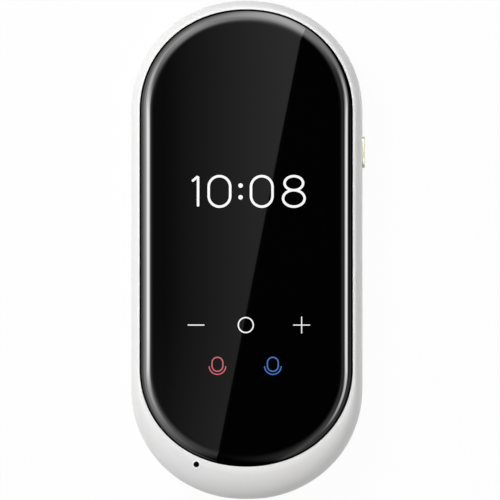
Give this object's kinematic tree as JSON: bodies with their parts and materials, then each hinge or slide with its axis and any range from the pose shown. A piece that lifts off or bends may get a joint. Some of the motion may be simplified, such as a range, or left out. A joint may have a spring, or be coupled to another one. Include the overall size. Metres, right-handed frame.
{
  "type": "handheld translator",
  "caption": "Flat pill-shaped handheld translator: white housing, black cover glass with rolled edges, side key that presses in and card tray that slides out.",
  "frame": {"origin": "middle of the flat back face, below the centre of the body", "axes": "+X towards the side with the power key, +Y towards the top end, +Z out of the screen"},
  "size_m": [0.0536, 0.1144, 0.012],
  "materials": {
    "white_shell": "glossy white",
    "black_glass": "polished, black behind",
    "champagne_metal": "polished, pale gold",
    "black_plastic": "moulded",
    "black_rubber": "matt",
    "touch_film": "smooth film",
    "panel_glass": "smooth",
    "white_plastic": "moulded",
    "amber_flex": "satin film",
    "green_board": "coated laminate",
    "plain_steel": "plain",
    "light_alloy": "as cast",
    "silver_pouch": "foil",
    "red_wire": "insulation",
    "black_wire": "insulation",
    "red_lens": "diffusing",
    "blue_lens": "diffusing",
    "white_lens": "diffusing"
  },
  "bodies": {
    "device": {"housing_frame": "white_shell", "rear_cover": "white_shell", "cover_glass": "black_glass", "glass_tape": "black_rubber", "touch_sensor": "touch_film", "display_cell": "panel_glass", "backlight_unit": "white_plastic", "display_flex": "amber_flex", "display_connector": "black_plastic", "key_light_frame": "black_plastic", "key_light_board": "green_board", "lamp_minus": "white_plastic", "lamp_ring": "white_plastic", "lamp_plus": "white_plastic", "lamp_red_mic": "white_plastic", "lamp_blue_mic": "white_plastic", "lens_minus": "white_lens", "lens_ring": "white_lens", "lens_plus": "white_lens", "lens_red_mic": "red_lens", "lens_blue_mic": "blue_lens", "chassis_plate": "light_alloy", "main_board": "green_board", "sub_board": "green_board", "board_link": "black_plastic", "board_flex": "amber_flex", "processor_shield": "plain_steel", "radio_shield": "plain_steel", "card_reader": "plain_steel", "key_switch": "black_plastic", "top_microphone": "plain_steel", "bottom_microphone": "plain_steel", "microphone_boot": "black_rubber", "socket_shell": "plain_steel", "socket_tongue": "black_plastic", "battery_pack": "silver_pouch", "battery_tape": "black_rubber", "battery_lead_red": "red_wire", "battery_lead_black": "black_wire", "battery_plug": "white_plastic", "speaker_mesh": "plain_steel", "speaker_gasket": "black_rubber", "speaker_box": "black_plastic", "antenna_carrier": "black_plastic", "antenna_strip": "amber_flex", "chassis_screw_1": "plain_steel", "chassis_screw_2": "plain_steel", "chassis_screw_3": "plain_steel", "chassis_screw_4": "plain_steel", "chassis_screw_5": "plain_steel", "chassis_screw_6": "plain_steel"},
    "key": {"power_key": "champagne_metal", "switch_plunger": "white_plastic"},
    "tray": {"card_tray": "light_alloy", "tray_seal": "black_rubber"}
  },
  "joints": [
    {"name": "key_press", "type": "slide", "parent": "device", "child": "key", "axis": [-1, 0, 0], "range_m": [0, 0.0003], "stiffness_N_per_m": 2500, "springref_m": -0.0003},
    {"name": "tray_slide", "type": "slide", "parent": "device", "child": "tray", "axis": [-1, 0, 0], "range_m": [0, 0.016]}
  ]
}
